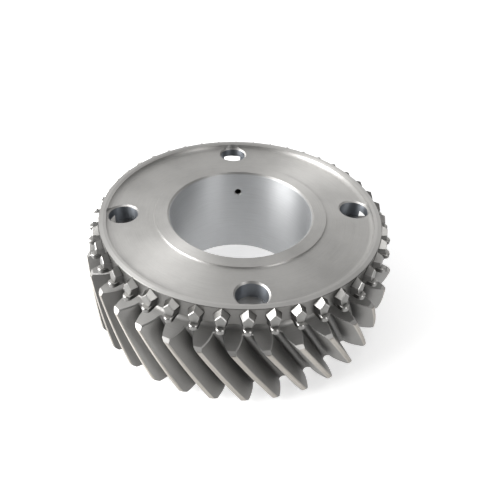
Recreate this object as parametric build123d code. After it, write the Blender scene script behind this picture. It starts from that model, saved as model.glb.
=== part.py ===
from build123d import *
import math
import os

# Helical transmission gear with an integral clutch (dog) ring, one steel forging.
# Millimetres. Origin at the centre of the lower thrust face, +Z up the bore.

# Stack of faces up the axis
total_height = 48.0            # lower thrust face to the top of the clutch rim
lower_hub_step = 3.0           # the hub stands this far below the helical teeth
clutch_height = 15.3           # rim top down to the helical teeth's upper end face
web_depth = 2.3                # rim top down to the web floor
boss_step = 0.75               # upper thrust boss above the web floor

# Bore and hub
bore_diameter = 62.5
bore_chamfer = 0.9
boss_width = 6.2               # upper thrust boss, bore to edge
boss_slope_width = 1.15        # its edge runs down to the web floor over this width
lower_hub_width = 9.75         # lower hub, bore to edge
lower_hub_chamfer = 1.0

# Helical teeth
tooth_count = 34
tip_diameter = 136.0
helix_angle = 30.6             # left-hand
normal_pressure_angle = 17.5
addendum_factor = 1.4          # tall tooth above the pitch circle, in normal modules
dedendum_factor = 1.6          # tooth below it
flank_facets = 2               # each flank is followed in this many steps
tooth_thinning = 0.03          # backlash allowance taken off each flank
tip_chamfer = 1.5              # turned on both ends of the tooth tips
helical_phase = 4.37           # a tooth's centre on the upper end face, degrees from +X

# Clutch ring: pointed teeth, wide at the shoulder and relieved behind it
dog_count = 42
dog_phase = -0.405
dog_tip_diameter = 127.0
dog_depth = 2.7                # tip to root of a clutch tooth, radially
ridge_start = 0.3              # the roof ridge leaves the rim's top this far outside the tooth roots
ridge_slope = 0.425            # fall of the ridge for each mm outwards
roof_slope = 1.025             # fall of each roof facet for each mm sideways
dog_neck_drop = 6.6            # rim top down to the end of the back taper
dog_tip_width = 4.4            # across the shoulders, at the tip
dog_neck_width = 2.6           # behind the back taper, at the tip
dog_flank_angle = 17.5         # the tooth widens inwards on each side
toe_reach = 2.3                # the foot of each tooth stands out this far past its tip
toe_drop = 6.2                 # rim top down to the top of the foot
toe_height = 2.3
toe_width = 3.5
toe_embed = 0.4                # its inner end lies inside the tooth roots
toe_point = 1.4                # its end is pointed over this length

# Relief groove between the clutch ring and the helical teeth
groove_depth = 4.9             # inside the clutch tooth roots
groove_top_drop = 7.0          # rim top down to its roof
groove_corner = 0.8            # bevelled corner at the groove's floor

# Clutch rim
rim_width = 3.0                # inside the clutch tooth roots
rim_chamfer = 1.2
rim_chamfer_depth = 0.42
rim_corner = 1.3               # bevelled corner between the rim's wall and the web

# Round pockets in the web
pocket_count = 4
pocket_phase = 6.1
pocket_diameter = 12.5
pocket_rim_clearance = 0.35    # pocket wall to the rim's inner wall
pocket_depth = 7.5
pocket_chamfer = 0.65

# Radial oil hole from the bore to the relief groove
oil_hole_diameter = 3.0
oil_hole_drop = 12.7           # rim top down to its axis
oil_hole_angle = 93.4
oil_hole_chamfer = 0.4

cut_margin = 1.0               # how far the cutting tools run past the faces they cut

# Worked out from the sizes above
bore_radius = bore_diameter / 2
boss_radius = bore_radius + boss_width
hub_radius = bore_radius + lower_hub_width
dog_tip_radius = dog_tip_diameter / 2
dog_root_radius = dog_tip_radius - dog_depth
toe_radius = dog_tip_radius + toe_reach
groove_radius = dog_root_radius - groove_depth
rim_inner_radius = dog_root_radius - rim_width
pocket_radius = pocket_diameter / 2
pocket_circle_radius = rim_inner_radius - pocket_rim_clearance - pocket_radius
web_z = total_height - web_depth
boss_z = web_z + boss_step
tooth_bottom_z = lower_hub_step
tooth_top_z = total_height - clutch_height
groove_top_z = total_height - groove_top_drop

helix = math.radians(helix_angle)
tip_radius = tip_diameter / 2
normal_module = tip_diameter / (tooth_count / math.cos(helix) + 2 * addendum_factor)
root_radius = tip_radius - (addendum_factor + dedendum_factor) * normal_module
pitch_radius = tooth_count * normal_module / (2 * math.cos(helix))
pressure_angle = math.atan(math.tan(math.radians(normal_pressure_angle)) / math.cos(helix))
base_radius = pitch_radius * math.cos(pressure_angle)
twist_per_mm = -math.degrees(math.tan(helix) / pitch_radius)
tooth_pitch_angle = 360 / tooth_count


def involute(angle):
    return math.tan(angle) - angle


def gap_half_angle(radius):
    """Half of the space between two helical teeth at a radius, in degrees; radial below the base circle."""
    at_pitch = math.pi / (2 * tooth_count) - tooth_thinning / pitch_radius
    roll = math.acos(min(1, base_radius / radius))
    half_tooth = at_pitch + involute(pressure_angle) - involute(roll)
    return tooth_pitch_angle / 2 - math.degrees(half_tooth)


def polar(radius, degrees):
    return (radius * math.cos(math.radians(degrees)), radius * math.sin(math.radians(degrees)))


def turned_blank():
    """The gear before its teeth are cut: one turned profile about the bore."""
    with BuildSketch(Plane.XZ) as profile:
        with BuildLine():
            Polyline(
                (bore_radius, bore_chamfer),
                (bore_radius + bore_chamfer, 0),
                (hub_radius - lower_hub_chamfer, 0),
                (hub_radius, lower_hub_chamfer),
                (hub_radius, tooth_bottom_z),
                (tip_radius - tip_chamfer, tooth_bottom_z),
                (tip_radius, tooth_bottom_z + tip_chamfer),
                (tip_radius, tooth_top_z - tip_chamfer),
                (tip_radius - tip_chamfer, tooth_top_z),
                (dog_root_radius, tooth_top_z),
                (dog_root_radius, total_height),
                (rim_inner_radius + rim_chamfer, total_height),
                (rim_inner_radius, total_height - rim_chamfer_depth),
                (rim_inner_radius, web_z + rim_corner),
                (rim_inner_radius - rim_corner, web_z),
                (boss_radius + boss_slope_width, web_z),
                (boss_radius, boss_z),
                (bore_radius + bore_chamfer, boss_z),
                (bore_radius, boss_z - bore_chamfer),
                close=True,
            )
        make_face()
    return revolve(profile.sketch, Axis.Z)


def helical_gap():
    """The space between two helical teeth: involute flanks, flat root, left-hand twist."""
    outer_radius = tip_radius + cut_margin
    step = (outer_radius - root_radius) / flank_facets
    side = [(root_radius + i * step, gap_half_angle(root_radius + i * step)) for i in range(flank_facets + 1)]
    other_side = [(r, -angle) for r, angle in reversed(side)]
    with BuildSketch() as section:
        with BuildLine():
            Polyline([polar(r, angle) for r, angle in side + other_side], close=True)
        make_face()
    height = tooth_top_z - tooth_bottom_z + 2 * cut_margin
    twist = twist_per_mm * height
    cutter = Solid.extrude_linear_with_rotation(section.sketch.face(), (0, 0, 0), (0, 0, height), twist)
    start_angle = helical_phase + tooth_pitch_angle / 2 - twist_per_mm * (height - cut_margin)
    return Pos(0, 0, tooth_bottom_z - cut_margin) * Rot(0, 0, start_angle) * cutter


def dog_outline(radius):
    """Corners of a clutch tooth's outline at a radius, where its flat facets meet."""
    ridge_start_radius = dog_root_radius + ridge_start
    widen = (dog_tip_radius - radius) * math.tan(math.radians(dog_flank_angle))
    ridge_z = total_height - (radius - ridge_start_radius) * ridge_slope
    tip_ridge_z = total_height - (dog_tip_radius - ridge_start_radius) * ridge_slope
    tip_shoulder_z = tip_ridge_z - roof_slope * dog_tip_width / 2
    neck_z = total_height - dog_neck_drop
    taper = (dog_tip_width - dog_neck_width) / 2 / (tip_shoulder_z - neck_z)
    shoulder = (dog_tip_width / 2 + widen + taper * (ridge_z - tip_shoulder_z)) / (1 + taper * roof_slope)
    shoulder_z = ridge_z - roof_slope * shoulder
    neck = dog_neck_width / 2 + widen
    half = [(shoulder, shoulder_z), (neck, neck_z), (neck, tooth_top_z)]
    other_half = [(-y, z) for y, z in reversed(half)]
    return [(radius, y, z) for y, z in [(0, ridge_z)] + half + other_half]


def dog_tooth():
    """One clutch tooth as a wedge with flat sides, left long for the turning cut."""
    inner = dog_outline(dog_root_radius - cut_margin)
    outer = dog_outline(dog_tip_radius + cut_margin)
    sides = [
        Face(Wire.make_polygon([outer[i - 1], outer[i], inner[i], inner[i - 1]]))
        for i in range(len(outer))
    ]
    ends = [Face(Wire.make_polygon(outer)), Face(Wire.make_polygon(inner))]
    return Solid(Shell(sides + ends))


def dog_toe():
    """The foot of a clutch tooth: a short block with a pointed end."""
    inner = dog_root_radius - toe_embed
    shoulder = toe_radius - toe_point
    with BuildSketch() as plan:
        with BuildLine():
            Polyline(
                (inner, -toe_width / 2),
                (shoulder, -toe_width / 2),
                (toe_radius, 0),
                (shoulder, toe_width / 2),
                (inner, toe_width / 2),
                close=True,
            )
        make_face()
    return Pos(0, 0, total_height - toe_drop - toe_height) * extrude(plan.sketch, toe_height)


def ring_turning():
    """What the lathe takes off the clutch ring: its top, its outside and the relief groove."""
    outside = dog_tip_radius + 2 * cut_margin
    with BuildSketch(Plane.XZ) as profile:
        with BuildLine():
            Polyline(
                (groove_radius, tooth_top_z + groove_corner),
                (groove_radius, groove_top_z),
                (dog_tip_radius, groove_top_z),
                (dog_tip_radius, total_height),
                (dog_root_radius - 2 * cut_margin, total_height),
                (dog_root_radius - 2 * cut_margin, total_height + 2 * cut_margin),
                (outside, total_height + 2 * cut_margin),
                (outside, tooth_top_z),
                (groove_radius + groove_corner, tooth_top_z),
                close=True,
            )
        make_face()
    return revolve(profile.sketch, Axis.Z)


def pocket():
    """A flat-bottomed round pocket with a broken edge, on the +X axis."""
    with BuildSketch(Plane.XZ) as profile:
        with BuildLine():
            Polyline(
                (0, web_z - pocket_depth),
                (pocket_radius, web_z - pocket_depth),
                (pocket_radius, web_z - pocket_chamfer),
                (pocket_radius + pocket_chamfer, web_z),
                (pocket_radius + pocket_chamfer, total_height + cut_margin),
                (0, total_height + cut_margin),
                close=True,
            )
        make_face()
    return Pos(pocket_circle_radius, 0, 0) * revolve(profile.sketch, Axis.Z)


def oil_hole():
    """A radial drilling along +X from the bore out into the relief groove."""
    radius = oil_hole_diameter / 2
    start = bore_radius - cut_margin
    mouth = radius + oil_hole_chamfer + cut_margin
    with BuildSketch(Plane.XZ) as profile:
        with BuildLine():
            Polyline(
                (start, 0),
                (start, mouth),
                (bore_radius + oil_hole_chamfer, radius),
                (groove_radius + cut_margin, radius),
                (groove_radius + cut_margin, 0),
                close=True,
            )
        make_face()
    return Pos(0, 0, total_height - oil_hole_drop) * revolve(profile.sketch, Axis.X)


gear = turned_blank()
tooth = dog_tooth()
gear += [Rot(0, 0, dog_phase + i * 360 / dog_count) * tooth for i in range(dog_count)]
gear -= ring_turning()
toe = dog_toe()
gear += [Rot(0, 0, dog_phase + i * 360 / dog_count) * toe for i in range(dog_count)]
gap = helical_gap()
gear -= [Rot(0, 0, i * tooth_pitch_angle) * gap for i in range(tooth_count)]
hole = pocket()
gear -= [Rot(0, 0, pocket_phase + i * 360 / pocket_count) * hole for i in range(pocket_count)]
gear -= Rot(0, 0, oil_hole_angle) * oil_hole()

os.makedirs("parts", exist_ok=True)
export_step(gear, "parts/helical_gear.step")
print("volume cm3", round(gear.volume / 1000, 1), "solids", len(gear.solids()), "valid", gear.is_valid)
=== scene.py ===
import math

import bpy
from mathutils import Matrix, Vector


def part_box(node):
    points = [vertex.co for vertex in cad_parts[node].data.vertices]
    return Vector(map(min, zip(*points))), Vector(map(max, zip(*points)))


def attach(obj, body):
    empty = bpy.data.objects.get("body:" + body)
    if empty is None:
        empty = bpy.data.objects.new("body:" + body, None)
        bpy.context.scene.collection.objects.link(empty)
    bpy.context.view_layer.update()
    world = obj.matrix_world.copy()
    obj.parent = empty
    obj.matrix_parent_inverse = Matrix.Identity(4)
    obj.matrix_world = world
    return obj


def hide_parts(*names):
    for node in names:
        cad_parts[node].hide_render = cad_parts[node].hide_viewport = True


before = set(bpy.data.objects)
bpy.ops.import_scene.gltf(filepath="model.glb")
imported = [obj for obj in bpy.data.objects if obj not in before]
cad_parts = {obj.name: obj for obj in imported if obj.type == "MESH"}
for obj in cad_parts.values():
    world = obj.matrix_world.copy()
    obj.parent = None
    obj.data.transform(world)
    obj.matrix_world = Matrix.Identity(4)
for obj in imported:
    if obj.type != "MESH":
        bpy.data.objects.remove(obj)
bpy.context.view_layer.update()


# ---------------------------------------------------------------- turned blank
# The gear starts as a forged steel disc, turned all over: lower hub, tooth band, web, boss and
# clutch rim. Its half section is drawn once and spun about the bore. Sizes are in millimetres.
MM = 0.001
gear_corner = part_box("helical_gear")[1]
height = gear_corner.z / MM
tip_r = gear_corner.x / MM
turning_steps = 420
merge_distance = 0.001

bore_r = 31.25
bore_chamfer = 0.9
hub_r = 41.0
hub_chamfer = 1.0
lower_fillet = 0.8

tooth_bottom = 3.0
tooth_top = height - 15.3
blank_top = tooth_top - 2.0     # the blank ends inside the tooth band

groove_r = 55.9
groove_fillet = 1.6
groove_top = height - 7.4
groove_roof_slope = math.tan(math.radians(12))

dog_root_r = 60.8
ring_edge_break = 0.14
rim_flat_r = 59.0
rim_in_r = 57.8
rim_chamfer_drop = 0.42
rim_fillet = 1.85

web_z = height - 2.3
boss_r = 37.45
boss_step = 0.75
boss_z = web_z + boss_step
boss_fillet = 0.8
lap = 0.03                      # a fillet ends this far inside what it runs into


def arc_points(centre, radius, start, end, steps):
    """Points of a round corner in the half section, angles in degrees."""
    turn = (end - start) / steps
    return [
        (centre[0] + radius * math.cos(math.radians(start + i * turn)),
         centre[1] + radius * math.sin(math.radians(start + i * turn)))
        for i in range(steps + 1)
    ]


def select_none():
    """Leaves edit mode and deselects every object."""
    if bpy.context.object and bpy.context.object.mode != "OBJECT":
        bpy.ops.object.mode_set(mode="OBJECT")
    bpy.ops.object.select_all(action="DESELECT")


def make_active(piece):
    """Selects one piece alone and makes it the active one."""
    select_none()
    piece.select_set(True)
    bpy.context.view_layer.objects.active = piece


def outline(name, points):
    """A closed outline of points in millimetres, active and in edit mode with all selected."""
    select_none()
    bpy.ops.mesh.primitive_circle_add(vertices=len(points), radius=10 * MM, fill_type="NGON")
    piece = bpy.context.object
    piece.name = name
    for vertex, point in zip(piece.data.vertices, points):
        vertex.co = Vector(point) * MM
    bpy.ops.object.mode_set(mode="EDIT")
    bpy.ops.mesh.select_all(action="SELECT")
    return piece


def close_up():
    """Ends a mesh edit with seams merged and every face pointing outwards."""
    bpy.ops.mesh.select_all(action="SELECT")
    bpy.ops.mesh.remove_doubles(threshold=merge_distance * MM)
    bpy.ops.mesh.delete_loose()
    bpy.ops.mesh.select_all(action="SELECT")
    bpy.ops.mesh.normals_make_consistent(inside=False)
    bpy.ops.object.mode_set(mode="OBJECT")


def turned(name, section, steps):
    """A closed half section, in millimetres, spun round the bore into a solid."""
    piece = outline(name, [(r, 0, z) for r, z in section])
    bpy.ops.mesh.delete(type="ONLY_FACE")
    bpy.ops.mesh.select_all(action="SELECT")
    bpy.ops.mesh.spin(steps=steps, angle=math.tau, center=(0, 0, 0), axis=(0, 0, 1))
    close_up()
    return piece


# The boss's fillet is a part of a circle, because the boss is lower than the fillet's radius
boss_fillet_end = math.degrees(math.asin((boss_fillet - boss_step) / boss_fillet))
hub_corner = (hub_r + lower_fillet, tooth_bottom - lower_fillet + lap)
groove_corner = (groove_r + groove_fillet, tooth_top + groove_fillet - lap)
rim_corner = (rim_in_r - rim_fillet, web_z + rim_fillet)
boss_corner = (boss_r + boss_fillet * math.cos(math.radians(boss_fillet_end)), web_z + boss_fillet)
body_section = (
    [(bore_r, bore_chamfer), (bore_r + bore_chamfer, 0)]
    + [(hub_r - hub_chamfer, 0), (hub_r, hub_chamfer)]
    + arc_points(hub_corner, lower_fillet, 180, 90, steps=6)
    + [(hub_r + lower_fillet, blank_top), (groove_r + groove_fillet, blank_top)]
    + arc_points(groove_corner, groove_fillet, 270, 180, steps=8)
    + [(groove_r, groove_top + (dog_root_r - groove_r) * groove_roof_slope)]
    + [(dog_root_r, groove_top)]
    + [(dog_root_r, height - ring_edge_break), (dog_root_r - ring_edge_break, height)]
    + [(rim_flat_r, height), (rim_in_r, height - rim_chamfer_drop)]
    + arc_points(rim_corner, rim_fillet, 0, -90, steps=9)
    + arc_points(boss_corner, boss_fillet, 270, 180 + boss_fillet_end, steps=6)
    + [(bore_r + bore_chamfer, boss_z), (bore_r, boss_z - bore_chamfer)]
)
gear = turned("helical_gear_steel", body_section, turning_steps)


# ---------------------------------------------------------------- clutch teeth
# Forty-two pointed teeth stand round the rim. Each is a wedge with a roof of two flat facets,
# widest at its shoulders and relieved behind them, and it stands on a round-ended foot.
dog_count = 42
dog_phase = -0.405              # degrees
dog_tip_r = 63.5
dog_tip_width = 4.4
dog_neck_width = 2.6
dog_neck_drop = 6.6
dog_flank_slope = math.tan(math.radians(17.5))
dog_tip_draft = 0.108           # the tip face leans in this much for each mm upwards
dog_edge_break = 0.22
ridge_start_r = 61.1
ridge_slope = 0.425
roof_slope = 1.025

toe_r = 65.75
toe_inner_r = 60.4
toe_half_width = 1.75
toe_top = height - 6.2
toe_bottom = height - 8.5
toe_edge_break = 0.33

overrun = 1.0                   # how far a cutter or a root runs past the face it meets
near = 0.01                     # two places closer than this are one


def dog_corners(radius):
    """Corners of a tooth's outline at a radius, where its facets meet."""
    widen = (dog_tip_r - radius) * dog_flank_slope
    ridge_z = height - (radius - ridge_start_r) * ridge_slope
    tip_ridge_z = height - (dog_tip_r - ridge_start_r) * ridge_slope
    tip_shoulder_z = tip_ridge_z - roof_slope * dog_tip_width / 2
    neck_z = height - dog_neck_drop
    neck = dog_neck_width / 2 + widen
    taper = (dog_tip_width - dog_neck_width) / 2 / (tip_shoulder_z - neck_z)
    shoulder = dog_tip_width / 2 + widen + taper * (ridge_z - tip_shoulder_z)
    shoulder /= 1 + taper * roof_slope
    half = [(shoulder, ridge_z - roof_slope * shoulder), (neck, neck_z),
            (neck, groove_top - overrun / 2)]
    corners = [(0, ridge_z)] + half + [(-y, z) for y, z in reversed(half)]
    return [(radius, y, z) for y, z in corners]


def polar_copies(piece, count, phase):
    """The piece repeated round the bore, as one joined mesh; the phase is in degrees."""
    copies = []
    for i in range(count):
        copy = piece.copy()
        copy.data = piece.data.copy()
        copy.data.transform(Matrix.Rotation(math.radians(phase + i * 360 / count), 4, "Z"))
        bpy.context.collection.objects.link(copy)
        copies.append(copy)
    make_active(copies[0])
    for copy in copies:
        copy.select_set(True)
    if count > 1:
        bpy.ops.object.join()
    return bpy.context.object


def combine(target, tool, operation):
    """Adds a tool to a piece or cuts it away, and discards the tool."""
    make_active(target)
    modifier = target.modifiers.new(tool.name, "BOOLEAN")
    modifier.operation = operation
    modifier.solver = "EXACT"
    modifier.object = tool
    bpy.ops.object.modifier_apply(modifier=modifier.name)
    bpy.data.objects.remove(tool)


def move_selected(piece, points):
    """The end that an extrude has just left selected goes to new corners, in millimetres."""
    bpy.ops.object.mode_set(mode="OBJECT")
    end = [v for v in piece.data.vertices if v.select]
    for vertex, point in zip(end, points):
        vertex.co = Vector(point) * MM
    bpy.ops.object.mode_set(mode="EDIT")


def break_edges(piece, width, keep):
    """A flat break on the edges of an open edit whose two ends, in millimetres, pass a test."""
    bpy.ops.mesh.select_mode(type="EDGE")
    bpy.ops.mesh.select_all(action="DESELECT")
    bpy.ops.object.mode_set(mode="OBJECT")
    for edge in piece.data.edges:
        edge.select = keep(*[piece.data.vertices[i].co / MM for i in edge.vertices])
    bpy.ops.object.mode_set(mode="EDIT")
    bpy.ops.mesh.bevel(offset=width * MM, segments=1, affect="EDGES")
    bpy.ops.mesh.select_mode(type="VERT")


def meets_dog_tip(a, b):
    """Edges of the tip face and those that run back from it, but not the ridge or the sole."""
    return max(a.x, b.x) > dog_tip_r - near and abs(a.y + b.y) > 2 * near


def rounds_toe(a, b):
    """Level edges of the foot, but not those at its inner end."""
    return abs(a.z - b.z) < near and max(a.x, b.x) > toe_inner_r + 10 * near


dog = outline("clutch_tooth", dog_corners(dog_root_r - overrun))
bpy.ops.mesh.extrude_region_move(TRANSFORM_OT_translate={"value": (overrun * MM, 0, 0)})
move_selected(dog, dog_corners(dog_tip_r + 2 * overrun))
dog_tip_z = height - (dog_tip_r - ridge_start_r) * ridge_slope
tip_face = (Vector((dog_tip_r, 0, dog_tip_z)) * MM, (1, 0, dog_tip_draft))
rim_face = ((0, 0, height * MM), (0, 0, 1))
for place, outwards in (tip_face, rim_face):
    bpy.ops.mesh.select_all(action="SELECT")
    bpy.ops.mesh.bisect(plane_co=place, plane_no=outwards, use_fill=True, clear_outer=True)
break_edges(dog, dog_edge_break, meets_dog_tip)
close_up()

toe_plan = [(toe_inner_r, -toe_half_width)]
toe_plan += arc_points((toe_r - toe_half_width, 0), toe_half_width, -90, 90, steps=10)
toe_plan += [(toe_inner_r, toe_half_width)]
toe = outline("tooth_foot", [(x, y, toe_bottom) for x, y in toe_plan])
toe_rise = (0, 0, (toe_top - toe_bottom) * MM)
bpy.ops.mesh.extrude_region_move(TRANSFORM_OT_translate={"value": toe_rise})
break_edges(toe, toe_edge_break, rounds_toe)
close_up()
combine(dog, toe, "UNION")
combine(gear, polar_copies(dog, dog_count, dog_phase), "UNION")
bpy.data.objects.remove(dog)


# ---------------------------------------------------------------- helical teeth
# Thirty-four left-hand teeth are hobbed into the band, with involute flanks and rounded roots.
# The whole toothed outline is drawn once and turns steadily as it climbs the band.
tooth_count = 34
tooth_phase = 4.37              # degrees, at the upper end face
helix = math.radians(30.6)
normal_pressure = math.radians(17.5)
addendum = 1.4                  # in normal modules, as is the dedendum
dedendum = 1.6
thinning = 0.03
root_round = 0.9
edge_break = 0.3
tip_chamfer = 1.5
flank_steps = 12
root_steps = 6
land_steps = 3
climb_steps = 40
core_sides = 120

normal_module = 2 * tip_r / (tooth_count / math.cos(helix) + 2 * addendum)
root_r = tip_r - (addendum + dedendum) * normal_module
pitch_r = tooth_count * normal_module / (2 * math.cos(helix))
pitch_angle = math.tau / tooth_count
pressure = math.atan(math.tan(normal_pressure) / math.cos(helix))
base_r = pitch_r * math.cos(pressure)
twist_per_mm = -math.tan(helix) / pitch_r


def involute(angle):
    """How far an involute has run round its base circle at a pressure angle."""
    return math.tan(angle) - angle


def tooth_half_angle(radius):
    """Half of a tooth at a radius, in radians; its flanks are radial below the base circle."""
    at_pitch = math.pi / (2 * tooth_count) - thinning / pitch_r
    roll = math.acos(min(1, base_r / radius))
    return at_pitch + involute(pressure) - involute(roll)


def shrunk(points, amount):
    """The outline of points, counter-clockwise, moved inwards square to its sides."""
    moved = []
    for i, (x, y) in enumerate(points):
        before = Vector(points[i - 1])
        after = Vector(points[(i + 1) % len(points)])
        along_in = (Vector((x, y)) - before).normalized()
        along_out = (after - Vector((x, y))).normalized()
        normal = Vector((along_in.y + along_out.y, -along_in.x - along_out.x)).normalized()
        moved.append((x - normal.x * amount, y - normal.y * amount))
    return moved


# Half a pitch, from the middle of a space to the middle of the land, as radius and angle
flank_start_r = root_r + root_round
flank_end_r = tip_r - edge_break
flank = []
for i in range(flank_steps + 1):
    r = flank_start_r + (flank_end_r - flank_start_r) * i / flank_steps
    flank.append((r, pitch_angle / 2 - tooth_half_angle(r)))
chord_x = flank_start_r * math.cos(flank[0][1])
chord_y = flank_start_r * math.sin(flank[0][1])
sag = chord_x - root_r
round_r = (chord_y ** 2 + sag ** 2) / (2 * sag)
swing = math.degrees(math.asin(min(1, chord_y / round_r)))
root_points = arc_points((root_r + round_r, 0), round_r, 180, 180 - swing, root_steps)
root_arc = [(math.hypot(x, y), math.atan2(y, x)) for x, y in root_points]
land_start = pitch_angle / 2 - tooth_half_angle(tip_r) + edge_break / tip_r
land = [(tip_r, land_start + (pitch_angle / 2 - land_start) * i / land_steps)
        for i in range(land_steps)]

half_pitch = root_arc[:-1] + flank + land
whole_pitch = half_pitch + [(tip_r, pitch_angle / 2)]
whole_pitch += [(r, pitch_angle - a) for r, a in reversed(half_pitch[1:])]
full_twist = twist_per_mm * (tooth_top - tooth_bottom)
space_phase = math.radians(tooth_phase) - pitch_angle / 2 - full_twist
gear_outline = [
    (r * math.cos(a + i * pitch_angle + space_phase),
     r * math.sin(a + i * pitch_angle + space_phase))
    for i in range(tooth_count) for r, a in whole_pitch
]
broken_outline = shrunk(gear_outline, edge_break)


def climbed(points, z):
    """The outline's corners at a height, turned as far as the helix has by then."""
    turn = Matrix.Rotation(twist_per_mm * (z - tooth_bottom), 3, "Z")
    return [turn @ Vector((x, y, z)) for x, y in points]


band = outline("tooth_band", climbed(broken_outline, tooth_bottom))
lowest = tooth_bottom + edge_break
climb = (tooth_top - edge_break - lowest) / climb_steps
levels = [(gear_outline, lowest + i * climb) for i in range(climb_steps + 1)]
levels += [(broken_outline, tooth_top)]
for points, z in levels:
    bpy.ops.mesh.extrude_region_move(TRANSFORM_OT_translate={"value": (0, 0, climb * MM)})
    move_selected(band, climbed(points, z))
close_up()

# Both ends of the tips are turned off at 45 degrees, and the middle is left to the blank
lower_corner = [(tip_r - tip_chamfer - overrun, tooth_bottom - overrun),
                (tip_r + overrun, tooth_bottom - overrun),
                (tip_r + overrun, tooth_bottom + tip_chamfer + overrun)]
combine(band, turned("lower_tip_chamfer", lower_corner, turning_steps), "DIFFERENCE")
upper_corner = [(r, tooth_bottom + tooth_top - z) for r, z in lower_corner]
combine(band, turned("upper_tip_chamfer", upper_corner, turning_steps), "DIFFERENCE")
select_none()
core_r = (bore_r + hub_r) / 2
bpy.ops.mesh.primitive_cylinder_add(
    vertices=core_sides, radius=core_r * MM, depth=tooth_top * 2 * MM)
combine(band, bpy.context.object, "DIFFERENCE")
combine(gear, band, "UNION")


# ---------------------------------------------------------------- pockets and oil hole
# Four flat-bottomed pockets take the lugs of the synchroniser ring, and one radial drilling feeds
# oil from the relief groove to the bearing in the bore. Both are cut after the teeth.
pocket_count = 4
pocket_phase = 6.1              # degrees
pocket_circle_r = 51.2
pocket_r = 6.25
pocket_chamfer = 0.65
pocket_floor = web_z - 7.5
pocket_sides = 64

oil_r = 1.5
oil_chamfer = 0.4
oil_z = height - 12.7
oil_angle = 93.4                # degrees
oil_sides = 40

pocket_section = [(0, pocket_floor), (pocket_r, pocket_floor), (pocket_r, web_z - pocket_chamfer),
                  (pocket_r + pocket_chamfer, web_z),
                  (pocket_r + pocket_chamfer, height + overrun), (0, height + overrun)]
pocket = turned("pocket", pocket_section, pocket_sides)
pocket.data.transform(Matrix.Translation((pocket_circle_r * MM, 0, 0)))
combine(gear, polar_copies(pocket, pocket_count, pocket_phase), "DIFFERENCE")
bpy.data.objects.remove(pocket)

oil_section = [(0, bore_r - overrun), (oil_r + oil_chamfer + overrun, bore_r - overrun),
               (oil_r, bore_r + oil_chamfer), (oil_r, groove_r + overrun), (0, groove_r + overrun)]
oil = turned("oil_hole", oil_section, oil_sides)
lying_down = Matrix.Rotation(math.pi / 2, 4, "Y")
oil.data.transform(Matrix.Translation((0, 0, oil_z * MM)) @ lying_down)
combine(gear, polar_copies(oil, 1, oil_angle), "DIFFERENCE")
bpy.data.objects.remove(oil)

# Every edge sharper than this stays crisp; the facets of turned and hobbed faces are smoothed
smooth_under = math.radians(17)
make_active(gear)
bpy.ops.object.mode_set(mode="EDIT")
close_up()
bpy.ops.object.shade_smooth_by_angle(angle=smooth_under)
even_shading = gear.modifiers.new("even_shading", "WEIGHTED_NORMAL")
even_shading.keep_sharp = True
bpy.ops.object.modifier_apply(modifier=even_shading.name)


# ---------------------------------------------------------------- steel finish
# One case-hardened steel. The bore, faces and rim are turned or ground bright, with marks that run
# round the axis. The teeth and recesses are darker and slightly brown, largely as painted shade.
turned_bright = (0.59, 0.581, 0.564)
turned_dull = (0.52, 0.512, 0.497)
ground_bore = (0.62, 0.628, 0.636)
# Darker, slightly brown flank tone, partly painted shade for the dim room that the flanks reflect
flank_tone_and_shade = (0.30, 0.295, 0.286)
bare_land = (0.45, 0.425, 0.39)
# Painted shade on the clutch teeth's upright and lower faces, painted light on their upward roofs
clutch_shaded_grey = (0.24, 0.237, 0.229)
clutch_lit_bright = (0.50, 0.49, 0.472)
# Painted shade on the wall between the clutch teeth and, darker still, on their side flanks
clutch_wall_shade = (0.17, 0.167, 0.16)
clutch_flank_shade = (0.11, 0.108, 0.104)
# Painted shade on the pocket walls, with a blue tint
pocket_wall_shade = (0.30, 0.32, 0.35)
tool_mark = (0.25, 0.24, 0.23)
# Painted shade, near black, in the oil hole and in hollows that ambient occlusion finds
painted_shade_black = (0.05, 0.05, 0.05)

groove_shade_cover = 0.7                # cover of the painted groove shade, the marks and the painted hollow shade
tool_mark_cover = 0.08
recess_shade_cover = 0.7
turned_roughness = 0.42
clutch_polish = 0.14            # how much smoother the clutch teeth are
speck_roughness = 0.10
mark_roughness = 0.08
speck_relief = 0.3              # beside the relief of the tool's marks


def feed(socket, value):
    """Gives a socket a number, a vector or another node's output."""
    if isinstance(value, bpy.types.NodeSocket):
        socket.id_data.links.new(value, socket)
    else:
        socket.default_value = value


def node(tree, kind, **values):
    """A new node in a tree; values are its own settings, or its inputs by name."""
    made = tree.nodes.new(kind)
    for name, value in values.items():
        if hasattr(made, name):
            setattr(made, name, value)
        else:
            feed(made.inputs[name.replace("_", " ")], value)
    return made


def calculate(operation, *terms, clamp=False):
    """A Math node on other nodes' outputs and numbers."""
    tree = next(term.id_data for term in terms if isinstance(term, bpy.types.NodeSocket))
    made = node(tree, "ShaderNodeMath", operation=operation, use_clamp=clamp)
    for socket, term in zip(made.inputs, terms):
        feed(socket, term)
    return made.outputs[0]


def ramp(value, low, high, at_low=0.0, at_high=1.0):
    """A smooth rise or fall of an output between two values."""
    made = node(value.id_data, "ShaderNodeMapRange", interpolation_type="SMOOTHSTEP", Value=value,
                From_Min=low, From_Max=high, To_Min=at_low, To_Max=at_high)
    return made.outputs["Result"]


def above(value, edge, blend):
    """A mask of what is over an edge, with a soft start under it."""
    return ramp(value, edge - blend, edge)


def below(value, edge, blend):
    """A mask of what is under an edge, with a soft end over it."""
    return ramp(value, edge, edge + blend, 1, 0)


def overlap(*masks):
    """A mask of where all these masks hold."""
    shared = masks[0]
    for mask in masks[1:]:
        shared = calculate("MULTIPLY", shared, mask)
    return shared


def mix(factor, first, second):
    """A colour mix; the colours are tuples or other nodes' outputs."""
    made = node(factor.id_data, "ShaderNodeMix", data_type="RGBA", Factor=factor)
    for socket, value in zip(made.inputs[6:8], (first, second)):
        feed(socket, (*value, 1) if isinstance(value, tuple) else value)
    return made.outputs[2]


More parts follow.
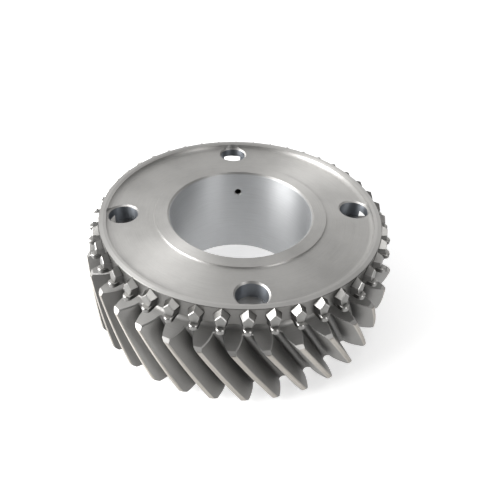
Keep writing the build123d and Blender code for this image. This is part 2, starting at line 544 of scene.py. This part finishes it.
steel = bpy.data.materials.new("gear_steel")
steel.use_nodes = True
tree = steel.node_tree
shader = tree.nodes["Principled BSDF"]
shader.inputs["Metallic"].default_value = 1.0
shader.inputs["Anisotropic"].default_value = 0.74
shader.inputs["Anisotropic Rotation"].default_value = 0.25
round_axis = node(tree, "ShaderNodeTangent", direction_type="RADIAL", axis="Z")
feed(shader.inputs["Tangent"], round_axis.outputs[0])

# Place on the gear in millimetres, and which way the surface faces
coordinates = node(tree, "ShaderNodeTexCoord").outputs["Object"]
in_mm = node(tree, "ShaderNodeVectorMath", operation="SCALE", Vector=coordinates, Scale=1 / MM)
x, y, z = node(tree, "ShaderNodeSeparateXYZ", Vector=in_mm.outputs["Vector"]).outputs
radius = calculate("MULTIPLY_ADD", x, x, calculate("MULTIPLY", y, y))
radius = calculate("SQRT", radius)
angle = calculate("ARCTAN2", y, x)
true_normal = node(tree, "ShaderNodeNewGeometry").outputs["True Normal"]
normal_x, normal_y, upward = node(tree, "ShaderNodeSeparateXYZ", Vector=true_normal).outputs
upright = calculate("ABSOLUTE", upward)
sideways = calculate("MULTIPLY", y, normal_x)
sideways = calculate("SUBTRACT", calculate("MULTIPLY", x, normal_y), sideways)
sideways = calculate("DIVIDE", calculate("ABSOLUTE", sideways), radius)

# Marks of the turning tool and the grinding wheel: fine rings, drawn out round the axis
marks_per_mm = 4.2
marks_per_radian = 2.5
ring_place = node(tree, "ShaderNodeCombineXYZ",
                  X=calculate("MULTIPLY", radius, marks_per_mm),
                  Y=calculate("MULTIPLY", z, marks_per_mm),
                  Z=calculate("MULTIPLY", angle, marks_per_radian)).outputs[0]
ring_marks = node(tree, "ShaderNodeTexNoise", Vector=ring_place,
                  Scale=1.0, Detail=3.0, Roughness=0.6).outputs["Fac"]
stains = node(tree, "ShaderNodeTexNoise", Vector=coordinates,
              Scale=45.0, Detail=5.0, Roughness=0.65).outputs["Fac"]
specks = node(tree, "ShaderNodeTexNoise", Vector=coordinates,
              Scale=1100.0, Detail=2.0, Roughness=0.5).outputs["Fac"]
openness = node(tree, "ShaderNodeAmbientOcclusion", Distance=6 * MM, samples=8).outputs["AO"]

# Where each finish and each painted shade or light lies on the gear; each mask has a soft edge just
# off the faces it covers
on_band = overlap(below(z, tooth_top + 0.1, 0.2), above(radius, root_r - 0.05, 0.3))
on_lands = overlap(on_band, above(radius, tip_r - 0.2, 0.2))
on_flanks = overlap(calculate("SUBTRACT", on_band, on_lands, clamp=True), below(upright, 0.5, 0.1))
in_bore = below(radius, bore_r + 0.15, 0.2)
# The relief groove under the clutch ring, which takes painted shade
in_groove = overlap(below(z, groove_top + 0.6, 0.8), above(radius, groove_r + 0.1, 0.4),
                    above(z, tooth_top + 0.1, 0.2))
on_clutch = overlap(above(z, toe_bottom - 0.5, 1.0), above(radius, dog_root_r - 0.1, 0.1))
# The clutch teeth's root wall and side flanks, which take painted shade
on_clutch_wall = overlap(on_clutch, below(radius, dog_root_r + 0.1, 0.3))
on_clutch_flanks = overlap(on_clutch, above(sideways, 0.86, 0.12))
# Clutch faces by which way they face: darker painted shade below, lighter painted light on top
on_clutch_shaded_sides = overlap(on_clutch, below(upward, 0.25, 0.2))
on_clutch_lit_roofs = overlap(on_clutch, above(upward, 0.6, 0.15))
# The pocket walls, which take painted shade
on_pocket_walls = overlap(
    above(radius, pocket_circle_r - pocket_r - 0.45, 0.5), below(radius, rim_in_r - 0.2, 0.2),
    below(z, web_z - 0.9, 0.6), above(z, pocket_floor - 0.7, 0.5), below(upright, 0.4, 0.2))
# The oil hole, painted near black as shade
in_oil_hole = overlap(
    above(radius, bore_r + 0.75, 0.3), below(radius, groove_r - 0.4, 0.2),
    below(z, oil_z + oil_r + 0.5, 0.4), above(z, oil_z - oil_r - 0.6, 0.4))
on_marks = above(ring_marks, 0.62, 0.17)
# Painted shade in hollows: where ambient occlusion is strong on the teeth, clutch or groove
can_take_shade = calculate("MAXIMUM", calculate("MAXIMUM", on_band, on_clutch), in_groove)
on_painted_occlusion = overlap(below(openness, 0.25, 0.6), can_take_shade)

base = mix(above(stains, 0.7, 0.35), turned_bright, turned_dull)
# Colours laid in turn over the turned steel; apart from the stains, lands, bore and tool marks,
# they are painted shade or painted light, wholly or in part
for mask, colour in (
    (in_bore, ground_bore),
    (on_flanks, flank_tone_and_shade),
    (on_lands, bare_land),
    (calculate("MULTIPLY", in_groove, groove_shade_cover), flank_tone_and_shade),
    (on_clutch_shaded_sides, clutch_shaded_grey),
    (on_clutch_lit_roofs, clutch_lit_bright),
    (on_clutch_wall, clutch_wall_shade),
    (on_clutch_flanks, clutch_flank_shade),
    (on_pocket_walls, pocket_wall_shade),
    (calculate("MULTIPLY", on_marks, tool_mark_cover), tool_mark),
    (in_oil_hole, painted_shade_black),
    (calculate("MULTIPLY", on_painted_occlusion, recess_shade_cover), painted_shade_black),
):
    base = mix(mask, base, colour)
feed(shader.inputs["Base Color"], base)
rough = calculate("MULTIPLY_ADD", on_clutch, -clutch_polish, turned_roughness)
rough = calculate("MULTIPLY_ADD", specks, speck_roughness, rough)
rough = calculate("MULTIPLY_ADD", ring_marks, mark_roughness, rough)
feed(shader.inputs["Roughness"], rough)
relief = calculate("MULTIPLY_ADD", specks, speck_relief, ring_marks)
bump = node(tree, "ShaderNodeBump", Strength=0.10, Distance=0.01 * MM, Height=relief)
feed(shader.inputs["Normal"], bump.outputs["Normal"])

gear.data.materials.clear()
gear.data.materials.append(steel)
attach(gear, "root")
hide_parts("helical_gear")


# ---------------------------------------------------------------- table
# A plain white table top of matt card. It keeps the gear's shadow, and glows a little where it is
# seen directly or in the steel, so that it looks white without more light on the gear.
table_size = 3                  # metres
table_glow = 0.55
select_none()
bpy.ops.mesh.primitive_plane_add(size=table_size, location=(0, 0, 0))
floor = bpy.context.object
floor.name = "floor"
paper = bpy.data.materials.new("white_table")
paper.use_nodes = True
tree = paper.node_tree
paper_shader = tree.nodes["Principled BSDF"]
paper_shader.inputs["Base Color"].default_value = (0.85, 0.85, 0.85, 1)
paper_shader.inputs["Roughness"].default_value = 0.9
paper_shader.inputs["Emission Color"].default_value = (1, 1, 1, 1)
ray = node(tree, "ShaderNodeLightPath").outputs
seen = calculate("MAXIMUM", ray["Is Camera Ray"], ray["Is Glossy Ray"])
feed(paper_shader.inputs["Emission Strength"], calculate("MULTIPLY", seen, table_glow))
floor.data.materials.append(paper)


# ---------------------------------------------------------------- lights and camera
# A pale room, dimmer towards the right, the front and where the viewer stands; it looks plain
# white itself. A large soft key light stands on the left and a weak one on the front right.
left_level = 1.1
right_level = 0.1
front_weight = 0.6              # how much the front counts as the dim side
viewer = (0, -0.72, 0.69)       # direction from the gear
viewer_level = 0.2
world = bpy.data.worlds.new("studio")
bpy.context.scene.world = world
world.use_nodes = True
tree = world.node_tree
direction = node(tree, "ShaderNodeTexCoord").outputs["Generated"]
split = node(tree, "ShaderNodeSeparateXYZ", Vector=direction).outputs
lean = calculate("MULTIPLY_ADD", split["Y"], -front_weight, split["X"])
level = node(tree, "ShaderNodeMapRange", Value=lean, From_Min=-1, From_Max=1,
             To_Min=left_level, To_Max=right_level).outputs["Result"]
ahead = node(tree, "ShaderNodeVectorMath", operation="DOT_PRODUCT")
feed(ahead.inputs[0], direction)
feed(ahead.inputs[1], viewer)
level = calculate("MULTIPLY", level, ramp(ahead.outputs["Value"], 0.7, 0.95, 1, viewer_level))
camera_ray = node(tree, "ShaderNodeLightPath").outputs["Is Camera Ray"]
shown = node(tree, "ShaderNodeMix", Factor=camera_ray, A=level, B=1.0)
background = tree.nodes["Background"]
background.inputs["Color"].default_value = (1, 1, 1, 1)
feed(background.inputs["Strength"], shown.outputs[0])


def soft_light(name, place, width, depth, watts):
    """A soft area lamp at a place in metres, turned towards the middle of the gear."""
    data = bpy.data.lights.new(name, "AREA")
    data.shape = "RECTANGLE"
    data.size = width
    data.size_y = depth
    data.energy = watts
    lamp = bpy.data.objects.new(name, data)
    bpy.context.collection.objects.link(lamp)
    lamp.location = place
    lamp.rotation_euler = (gear_middle - Vector(place)).to_track_quat("-Z", "Y").to_euler()


gear_middle = Vector((0, 0, 0.03))
soft_light("key", (-0.72, -0.22, 0.36), width=0.55, depth=0.5, watts=8)
soft_light("fill", (0.5, -0.5, 0.36), width=0.2, depth=0.5, watts=1.4)

camera_place = (0.217, -175.194, 171.084)
camera_down = math.radians(38.96)
camera_roll = math.radians(2.49)
camera_data = bpy.data.cameras.new("camera")
camera_data.sensor_width = 36
camera_data.lens = 36.49
camera_data.clip_start = 0.01
camera = bpy.data.objects.new("camera", camera_data)
bpy.context.collection.objects.link(camera)
camera.matrix_world = (
    Matrix.Translation(Vector(camera_place) * MM)
    @ Matrix.Rotation(math.pi / 2 - camera_down, 4, "X")
    @ Matrix.Rotation(camera_roll, 4, "Z")
)
bpy.context.scene.camera = camera
bpy.context.scene.view_settings.view_transform = "Standard"

bpy.context.view_layer.update()
